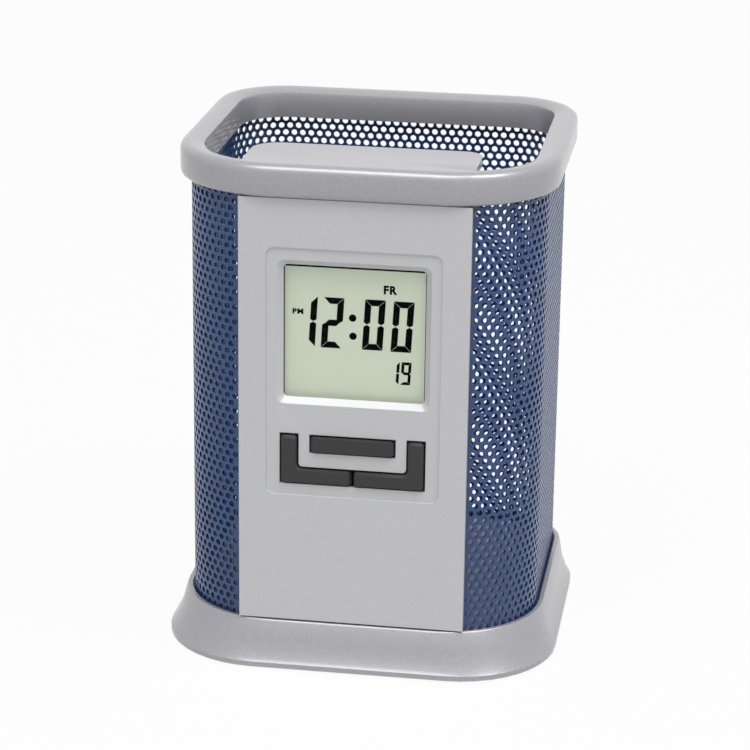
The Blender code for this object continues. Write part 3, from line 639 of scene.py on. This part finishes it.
def place_on_sheet(sizes, along, half):
    """Plan point and outward direction at a distance along the sheet from the back's middle.

    half holds half the width and half the depth of the sheet's middle line.
    """
    half_x, half_y = half
    rear, front = sizes.rear_bend, sizes.front_bend
    side = math.copysign(1.0, along)
    left = abs(along)
    back = half_x - rear
    if left <= back:
        return Vector((side * left, half_y)), Vector((0, 1))
    left -= back
    turn = left / rear
    if turn <= math.pi / 2:
        out = Vector((side * math.sin(turn), math.cos(turn)))
        return Vector((side * back, half_y - rear)) + out * rear, out
    left -= rear * math.pi / 2
    flank = 2 * half_y - rear - front
    if left <= flank:
        return Vector((side * half_x, half_y - rear - left)), Vector((side, 0))
    turn = (left - flank) / front
    out = Vector((side * math.cos(turn), -math.sin(turn)))
    return Vector((side * (half_x - front), front - half_y)) + out * front, out


def sheet_length(sizes, half, end_x):
    """Length of the sheet's middle line from the back's middle to its end at end_x."""
    half_x, half_y = half
    rear, front = sizes.rear_bend, sizes.front_bend
    flank = 2 * half_y - rear - front
    turn = math.acos((end_x - half_x + front) / front)
    return half_x - rear + rear * math.pi / 2 + flank + front * turn


def punched_half(sizes, side, length, low, high):
    """Flat points (along, height) and faces of one half of the punched sheet, anticlockwise.

    Each hole lies in a six-sided cell. Cells meet in corners numbered in half pitches and thirds
    of a row. Plain strips close the sheet at its two edges and its end.
    """
    points, faces, corners = [], [], {}
    half_pitch, third, radius = sizes.pitch / 2, sizes.row_pitch / 3, sizes.hole / 2
    first = low + sizes.first_row
    rows = int((high - sizes.margin - radius - first) / sizes.row_pitch) + 1

    # The furthest hole in half pitches, and how far out a cell's corner may lie
    reach = length - side * sizes.shift - radius - END_STRIP
    furthest = int(reach / half_pitch)
    brink = length - END_STRIP / 2

    def add(along, height):
        points.append((along, height))
        return len(points) - 1

    def corner(across, up):
        if (across, up) not in corners:
            along = sizes.shift + across * half_pitch
            corners[across, up] = add(max(-brink, min(brink, along)), first + up * third)
        return corners[across, up]

    def strip(path, line):
        for i in range(len(path) - 1):
            faces.append((path[i], path[i + 1], line[i + 1], line[i]))

    def row_cells(row):
        odd = row % 2
        last = furthest - (furthest - odd) % 2
        if side > 0:
            return range(odd, last + 1, 2)
        return range(-last, odd - 1, 2)

    # Holes, each joined to its cell's corners
    turns = [2 * math.pi * k / HOLE_POINTS for k in range(HOLE_POINTS)]
    circle = [(radius * math.cos(t), radius * math.sin(t)) for t in turns]
    for row in range(rows):
        up = 3 * row
        for across in row_cells(row):
            centre = (sizes.shift + across * half_pitch, first + up * third)
            ring = [add(centre[0] + x, centre[1] + y) for x, y in circle]
            spots = ((1, -1), (1, 1), (0, 2), (-1, 1), (-1, -1), (0, -2))
            cell = [corner(across + x, up + y) for x, y in spots]
            for s in range(6):
                here, there = cell[s], cell[(s + 1) % 6]
                before, middle, after = ring[2 * s - 1], ring[2 * s], ring[2 * s + 1]
                faces.append((here, there, middle))
                faces.append((here, middle, before))
                faces.append((there, after, middle))

    # Plain strips between the outermost cells and the sheet's edges
    edge = []
    for row in range(rows):
        cells = row_cells(row)
        across = cells[-1] + 1 if side > 0 else cells[0] - 1
        edge += [corner(across, 3 * row - 1), corner(across, 3 * row + 1)]
    last = rows - 1
    cells = row_cells(0)
    below = [corner(cells[0] - 1, -1)]
    for across in cells:
        below += [corner(across, -2), corner(across + 1, -1)]
    cells = row_cells(last)
    above = [corner(cells[0] - 1, 3 * last + 1)]
    for across in cells:
        above += [corner(across, 3 * last + 2), corner(across + 1, 3 * last + 1)]
    lower_line = [add(points[i][0], low) for i in below]
    upper_line = [add(points[i][0], high) for i in above]
    strip(lower_line, below)
    strip(above, upper_line)
    if side > 0:
        edge = [lower_line[-1]] + edge + [upper_line[-1]]
        end_line = [add(length, points[i][1]) for i in edge]
        strip(end_line[::-1], edge[::-1])
    else:
        edge = [lower_line[0]] + edge + [upper_line[0]]
        end_line = [add(-length, points[i][1]) for i in edge]
        strip(end_line, edge)
    return points, faces


def sheet_mesh(name, sizes, side, half, length, low, high):
    """The bent half sheet as a closed mesh."""
    flat, faces = punched_half(sizes, side, length, low, high)
    count = len(flat)
    verts = []
    for offset in (sizes.thickness / 2, -sizes.thickness / 2):
        for along, height in flat:
            spot, out = place_on_sheet(sizes, along, half)
            spot = spot + out * offset
            verts.append((spot.x, spot.y, height))

    # Edges with a face on one side only, round the holes and the sheet
    open_edges = {}
    for face in faces:
        for a, b in zip(face, face[1:] + face[:1]):
            if (b, a) in open_edges:
                del open_edges[b, a]
            else:
                open_edges[a, b] = True

    # Seen from outside the flat faces run clockwise, so the outer ones are turned round
    skin = [face[::-1] for face in faces]
    skin += [tuple(i + count for i in face) for face in faces]
    skin += [(a, b, b + count, a + count) for a, b in open_edges]
    mesh = bpy.data.meshes.new(name)
    mesh.from_pydata(verts, [], skin)
    mesh.validate()
    mesh.shade_smooth()
    mesh.set_sharp_from_angle(angle=HOLE_SHARP_FROM)
    return mesh


class PENCLOCK_OT_sheet(Operator):
    """Punched and bent sheet, in two halves that meet behind"""

    bl_idname = "pen_holder_clock.sheet"
    bl_label = "Perforated sheet"

    def execute(self, context):
        sizes = scene_settings().sheet
        low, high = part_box("mesh_wall")
        half = (high.x - sizes.thickness / 2, high.y - sizes.thickness / 2)
        end_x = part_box("clock_case")[1].x + END_PAST_CASE
        length = sheet_length(sizes, half, end_x)
        material = navy_enamel()
        for side, sign in (("left", -1), ("right", 1)):
            name = f"perforated_sheet_{side}"
            mesh = sheet_mesh(name, sizes, sign, half, length, low.z, high.z)
            piece = add_piece(name, mesh, material)
            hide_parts("mesh_wall")
        return {"FINISHED"}


# Display

# Places of the characters in X and Z, at the lower left corner or the centre
TIME_LEFT = [v * MM for v in (-13.01, -7.40, 1.37, 7.43)]
TIME_LOW = [v * MM for v in (72.09, 72.00, 72.02, 71.93)]
COLON = [(-0.65 * MM, 78.82 * MM), (-0.54 * MM, 74.84 * MM)]
COLON_RADIUS = 0.8 * MM
DATE_LEFT = [7.12 * MM, 9.60 * MM]
DATE_LOW, DATE_HEIGHT, DATE_WIDTH = 64.75 * MM, 5.0 * MM, 2.1 * MM

# The date's hairlines beside the time's, and the length of a pointed end in strokes
DATE_HAIRLINE = 0.6
STROKE_TIP = 0.32
DOT_STEPS = 20

# Words: left edge, lower edge, height and width
DAY_PLACE = [v * MM for v in (5.85, 84.39, 1.9, 2.83)]
HALF_DAY_PLACE = [v * MM for v in (-13.43, 79.06, 1.2, 2.3)]
LETTER_WEIGHT, LETTER_SPACING, LETTER_STEPS = 0.045, 1.15, 4

# Painted shadow line round the display, a flat frame of ink: left, right, lower and upper edge
SHADOW_LINE_OUTSIDE = [v * MM for v in (-16.4, 16.4, 59.9, 91.65)]
SHADOW_LINE_INSIDE = [v * MM for v in (-15.1, 14.72, 60.55, 89.47)]
INK_PROUD = 0.04 * MM
DISPLAY_ROUNDING = 0.1 * MM

# Strokes of each digit: a on top, b and c down the right, d below, e and f up the left, g between
STROKES = {
    "0": "abcdef",
    "1": "bc",
    "2": "abged",
    "3": "abgcd",
    "4": "fgbc",
    "5": "afgcd",
    "6": "afgedc",
    "7": "abc",
    "8": "abcdefg",
    "9": "gfabcd",
}


def stroke_outlines(width, height, stroke, gap):
    """The seven strokes of a digit by letter, each an outline with mitred or pointed ends."""
    w, h, t, g = width, height, stroke, gap / 2
    mid = h / 2
    tip = t * STROKE_TIP
    top = [(g, h), (w - g, h), (w - t - g, h - t), (t + g, h - t)]
    upper = [(0, h - g), (t, h - t - g), (t, mid + tip + g), (t / 2, mid + g), (0, mid + tip + g)]
    bar = [
        (t / 2 + g, mid),
        (t + g, mid + t / 2),
        (w - t - g, mid + t / 2),
        (w - t / 2 - g, mid),
        (w - t - g, mid - t / 2),
        (t + g, mid - t / 2),
    ]

    def across(outline):
        return [(w - x, z) for x, z in outline[::-1]]

    def over(outline):
        return [(x, h - z) for x, z in outline[::-1]]

    return {
        "a": top,
        "f": upper,
        "b": across(upper),
        "e": over(upper),
        "c": over(across(upper)),
        "d": over(top),
        "g": bar,
    }


def digit_outlines(digit, place, width, height, stroke, gap, slant):
    """Outlines of a digit whose lower left corner is at place, leaning by slant."""
    outlines = stroke_outlines(width, height, stroke, gap)
    lean = math.tan(slant)
    return [
        [(place[0] + x + z * lean, place[1] + z) for x, z in outlines[letter]]
        for letter in STROKES[digit]
    ]


def dot_outline(centre, radius):
    """Outline of a dot of the colon."""
    turns = [2 * math.pi * k / DOT_STEPS for k in range(DOT_STEPS)]
    return [(centre[0] + radius * math.cos(t), centre[1] + radius * math.sin(t)) for t in turns]


def word_mesh(text):
    """Flat letters as a mesh in the XY plane, with its left, right, lower and upper edge."""
    curve = bpy.data.curves.new("letters", "FONT")
    curve.body = text
    curve.offset = LETTER_WEIGHT
    curve.space_character = LETTER_SPACING
    curve.resolution_u = LETTER_STEPS
    holder = bpy.data.objects.new("letters", curve)
    bpy.context.scene.collection.objects.link(holder)
    bpy.context.view_layer.update()
    evaluated = holder.evaluated_get(bpy.context.evaluated_depsgraph_get())
    mesh = bpy.data.meshes.new_from_object(evaluated)
    bpy.data.objects.remove(holder)
    across, up = [v.co.x for v in mesh.vertices], [v.co.y for v in mesh.vertices]
    return mesh, (min(across), max(across), min(up), max(up))


class PENCLOCK_OT_display(Operator):
    """Display glass, its characters and the lens before them"""

    bl_idname = "pen_holder_clock.display"
    bl_label = "Display"

    def execute(self, context):
        dress(["display_glass"], display_ground(), DISPLAY_ROUNDING)
        dress(["window_lens"], clear_acrylic())
        settings = scene_settings().display
        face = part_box("display_glass")[0].y
        shape = bmesh.new()
        for outline in self.outlines(settings):
            shape.faces.new([shape.verts.new((x, face, z)) for x, z in outline])
        # Painted shadow: a dark frame of ink where the display meets the window
        self.painted_shadow_line(shape, face)
        self.word(shape, face, settings.day, DAY_PLACE)
        self.word(shape, face, settings.half_day, HALF_DAY_PLACE)
        bmesh.ops.recalc_face_normals(shape, faces=shape.faces)
        raised = bmesh.ops.extrude_face_region(shape, geom=shape.faces[:], use_keep_orig=True)
        lifted = [v for v in raised["geom"] if isinstance(v, bmesh.types.BMVert)]
        bmesh.ops.translate(shape, vec=(0, -INK_PROUD, 0), verts=lifted)
        bmesh.ops.recalc_face_normals(shape, faces=shape.faces)
        mesh = bpy.data.meshes.new("display_characters_and_shadow_line")
        shape.to_mesh(mesh)
        shape.free()
        add_piece("display_characters_and_shadow_line", mesh, display_ink_and_shadow())
        return {"FINISHED"}

    def outlines(self, settings):
        """Outlines of the time, its colon and the date."""
        made = []
        for digit, left, low in zip(settings.time, TIME_LEFT, TIME_LOW):
            made += digit_outlines(
                digit,
                (left, low),
                settings.width,
                settings.height,
                settings.stroke,
                settings.hairline,
                settings.slant,
            )
        for centre in COLON:
            made.append(dot_outline(centre, COLON_RADIUS))
        scale = DATE_HEIGHT / settings.height
        for digit, left in zip(settings.date, DATE_LEFT):
            made += digit_outlines(
                digit,
                (left, DATE_LOW),
                DATE_WIDTH,
                DATE_HEIGHT,
                settings.stroke * scale,
                settings.hairline * DATE_HAIRLINE,
                settings.slant,
            )
        return made

    def painted_shadow_line(self, shape, face):
        """Painted shadow: the dark line where the display meets the window, as a flat frame of ink.
        """
        rings = [
            [shape.verts.new((x, face, z)) for x, z in ((w, d), (e, d), (e, u), (w, u))]
            for w, e, d, u in (SHADOW_LINE_OUTSIDE, SHADOW_LINE_INSIDE)
        ]
        for i in range(4):
            j = (i + 1) % 4
            shape.faces.new((rings[0][i], rings[0][j], rings[1][j], rings[1][i]))

    def word(self, shape, face, text, place):
        """A word, fitted to a place given as left edge, lower edge, height and width."""
        left, low, height, width = place
        mesh, (start, end, bottom, top) = word_mesh(text)
        verts = []
        for point in mesh.vertices:
            x = left + (point.co.x - start) / (end - start) * width
            z = low + (point.co.y - bottom) / (top - bottom) * height
            verts.append(shape.verts.new((x, face, z)))
        for polygon in mesh.polygons:
            shape.faces.new([verts[i] for i in polygon.vertices])


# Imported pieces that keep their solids

PANEL_ROUNDING, KEY_ROUNDING, DOOR_ROUNDING = 0.12 * MM, 0.2 * MM, 0.12 * MM


class PENCLOCK_OT_rim_and_base(Operator):
    """Silver paint on the rim and the base"""

    bl_idname = "pen_holder_clock.rim_and_base"
    bl_label = "Rim and base"

    def execute(self, context):
        dress(["top_rim", "base_shell"], silver_paint())
        return {"FINISHED"}


class PENCLOCK_OT_panel(Operator):
    """Flat silver front panel with softened edges"""

    bl_idname = "pen_holder_clock.panel"
    bl_label = "Front panel"

    def execute(self, context):
        dress(["front_panel"], panel_silver(), PANEL_ROUNDING)
        return {"FINISHED"}


class PENCLOCK_OT_keys(Operator):
    """The three keys"""

    bl_idname = "pen_holder_clock.keys"
    bl_label = "Keys"

    def execute(self, context):
        dress(["key_bar", "key_left", "key_right"], key_plastic(), KEY_ROUNDING)
        return {"FINISHED"}


class PENCLOCK_OT_case(Operator):
    """Clock case, battery door and base plate"""

    bl_idname = "pen_holder_clock.case"
    bl_label = "Case and door"

    def execute(self, context):
        plastic = case_plastic()
        dress(["clock_case", "base_plate"], plastic)
        dress(["battery_door"], plastic, DOOR_ROUNDING)
        return {"FINISHED"}


class PENCLOCK_OT_fastenings(Operator):
    """Screws and rubber pads"""

    bl_idname = "pen_holder_clock.fastenings"
    bl_label = "Screws and pads"

    def execute(self, context):
        dress([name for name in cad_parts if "_screw_" in name], steel())
        dress(named("foot_pad"), rubber())
        return {"FINISHED"}


class PENCLOCK_OT_works(Operator):
    """Circuit board and everything on it, cell, contacts and buzzer"""

    bl_idname = "pen_holder_clock.works"
    bl_label = "Works"

    def execute(self, context):
        metal = steel()
        dress(["circuit_board"], board_laminate())
        dress(["chip_cover"], black_epoxy())
        dress(["crystal_can", "button_cell"], metal)
        dress(named("key_dome"), metal)
        dress(["display_frame"], white_plastic())
        dress(named("contact_strip"), rubber())
        dress(["cell_leaf", "cell_side_strip", "buzzer_disc"], brass())
        dress(["buzzer_wire_red"], sleeve("red sleeve", (0.45, 0.02, 0.018)))
        dress(["buzzer_wire_black"], sleeve("black sleeve", (0.015, 0.015, 0.016)))
        return {"FINISHED"}


# Studio

FLOOR_HALF = 3.0
FLOOR_COLOUR = (0.72, 0.72, 0.72)
FLOOR_WHITE = 0.95

# Where each lamp hangs and how wide it is, where both shine, and where the camera looks
MAIN_PLACE, MAIN_SIZE = (0.5, -0.28, 1.05), 0.6
EDGE_PLACE, EDGE_SIZE = (-0.13, -0.5, 1.0), 0.66
LAMP_AIM = (0, 0, 0.06)
LOOK_AT = (-0.742 * MM, 0, 55.294 * MM)


def seen_white(tree):
    """1 where the camera, a gloss or clear glass looks, else 0."""
    path = tree.nodes.new("ShaderNodeLightPath")
    seen = path.outputs["Is Camera Ray"]
    for name in ("Is Glossy Ray", "Is Transmission Ray"):
        both = tree.nodes.new("ShaderNodeMath")
        both.operation = "MAXIMUM"
        tree.links.new(seen, both.inputs[0])
        tree.links.new(path.outputs[name], both.inputs[1])
        seen = both.outputs["Value"]
    return seen


def soft_box(name, place, size, power):
    """A round soft lamp that shines at the object."""
    lamp = bpy.data.lights.new(name, "AREA")
    lamp.shape = "DISK"
    lamp.size = size
    lamp.energy = power
    obj = bpy.data.objects.new(name, lamp)
    obj.location = place
    sight = Vector(LAMP_AIM) - Vector(place)
    obj.rotation_euler = sight.to_track_quat("-Z", "Y").to_euler()
    bpy.context.scene.collection.objects.link(obj)


class PENCLOCK_OT_studio(Operator):
    """Pale floor, soft lamps and the camera"""

    bl_idname = "pen_holder_clock.studio"
    bl_label = "Studio"

    def execute(self, context):
        settings = scene_settings().studio
        scene = context.scene
        scene.view_settings.view_transform = "Standard"
        self.floor(scene)
        self.light(scene, settings)
        self.camera(scene, settings)
        return {"FINISHED"}

    def floor(self, scene):
        """Pale floor that the camera and glosses see as nearly white."""
        shape = bmesh.new()
        bmesh.ops.create_grid(shape, x_segments=4, y_segments=4, size=FLOOR_HALF)
        mesh = bpy.data.meshes.new("studio_floor")
        shape.to_mesh(mesh)
        shape.free()
        floor = bpy.data.objects.new("studio_floor", mesh)
        scene.collection.objects.link(floor)
        made, tree, shader = new_material("studio floor", FLOOR_COLOUR, roughness=0.8)
        white = tree.nodes.new("ShaderNodeEmission")
        both = tree.nodes.new("ShaderNodeMixShader")
        share = tree.nodes.new("ShaderNodeMath")
        share.operation = "MULTIPLY"
        share.inputs[1].default_value = FLOOR_WHITE
        tree.links.new(seen_white(tree), share.inputs[0])
        tree.links.new(share.outputs["Value"], both.inputs["Fac"])
        tree.links.new(shader.outputs["BSDF"], both.inputs[1])
        tree.links.new(white.outputs["Emission"], both.inputs[2])
        tree.links.new(both.outputs["Shader"], tree.nodes["Material Output"].inputs["Surface"])
        mesh.materials.append(made)

    def light(self, scene, settings):
        """Even room light, seen as white, and the two softboxes."""
        world = bpy.data.worlds.new("room")
        world.use_nodes = True
        scene.world = world
        tree = world.node_tree
        lit = tree.nodes["Background"]
        lit.inputs["Color"].default_value = (1, 1, 1, 1)
        lit.inputs["Strength"].default_value = settings.world
        white = tree.nodes.new("ShaderNodeBackground")
        white.inputs["Color"].default_value = (1, 1, 1, 1)
        both = tree.nodes.new("ShaderNodeMixShader")
        tree.links.new(seen_white(tree), both.inputs["Fac"])
        tree.links.new(lit.outputs["Background"], both.inputs[1])
        tree.links.new(white.outputs["Background"], both.inputs[2])
        tree.links.new(both.outputs["Shader"], tree.nodes["World Output"].inputs["Surface"])
        soft_box("main softbox", MAIN_PLACE, MAIN_SIZE, settings.main_lamp)
        soft_box("edge softbox", EDGE_PLACE, EDGE_SIZE, settings.edge_lamp)

    def camera(self, scene, settings):
        """Camera at the photograph's angle."""
        azimuth, elevation = settings.azimuth, settings.elevation
        back = Vector(
            (
                math.sin(azimuth) * math.cos(elevation),
                -math.cos(azimuth) * math.cos(elevation),
                math.sin(elevation),
            )
        )
        level = Vector((math.cos(azimuth), math.sin(azimuth), 0))
        upright = back.cross(level)
        across = math.cos(settings.roll) * level + math.sin(settings.roll) * upright
        up = math.cos(settings.roll) * upright - math.sin(settings.roll) * level
        place = Matrix((across, up, back)).transposed().to_4x4()
        place.translation = Vector(LOOK_AT) + back * settings.distance
        data = bpy.data.cameras.new("photo camera")
        data.sensor_width = 36
        data.lens = settings.lens
        data.clip_start = 0.05
        data.clip_end = 20
        camera = bpy.data.objects.new("photo camera", data)
        camera.matrix_world = place
        scene.collection.objects.link(camera)
        scene.camera = camera


# Settings, panel and registration


class PenHolderClock(PropertyGroup):
    """All settings of the pen holder clock."""

    sheet: PointerProperty(type=SheetSizes)
    display: PointerProperty(type=DisplayCharacters)
    finish: PointerProperty(type=Finishes)
    studio: PointerProperty(type=Studio)


OPERATORS = (
    PENCLOCK_OT_sheet,
    PENCLOCK_OT_rim_and_base,
    PENCLOCK_OT_panel,
    PENCLOCK_OT_keys,
    PENCLOCK_OT_display,
    PENCLOCK_OT_case,
    PENCLOCK_OT_fastenings,
    PENCLOCK_OT_works,
    PENCLOCK_OT_studio,
)


class PENCLOCK_PT_pieces(Panel):
    """Lists the pieces of the pen holder clock and their sizes"""

    bl_label = "Pen Holder Clock"
    bl_space_type = "VIEW_3D"
    bl_region_type = "UI"
    bl_category = "Pen Holder Clock"

    def draw(self, context):
        for operator in OPERATORS:
            self.layout.operator(operator.bl_idname)
        settings = scene_settings()
        for group in (settings.sheet, settings.display, settings.finish, settings.studio):
            box = self.layout.box()
            for name in group.__annotations__:
                box.prop(group, name)


GROUPS = (SheetSizes, DisplayCharacters, Finishes, Studio, PenHolderClock)
CLASSES = GROUPS + OPERATORS + (PENCLOCK_PT_pieces,)


def register():
    for kind in CLASSES:
        bpy.utils.register_class(kind)
    bpy.types.Scene.pen_holder_clock = PointerProperty(type=PenHolderClock)


def unregister():
    del bpy.types.Scene.pen_holder_clock
    for kind in reversed(CLASSES):
        bpy.utils.unregister_class(kind)


def main():
    register()
    bpy.ops.pen_holder_clock.studio()
    bpy.ops.pen_holder_clock.sheet()
    bpy.ops.pen_holder_clock.rim_and_base()
    bpy.ops.pen_holder_clock.panel()
    bpy.ops.pen_holder_clock.keys()
    bpy.ops.pen_holder_clock.display()
    bpy.ops.pen_holder_clock.case()
    bpy.ops.pen_holder_clock.fastenings()
    bpy.ops.pen_holder_clock.works()


if __name__ == "__main__":
    main()
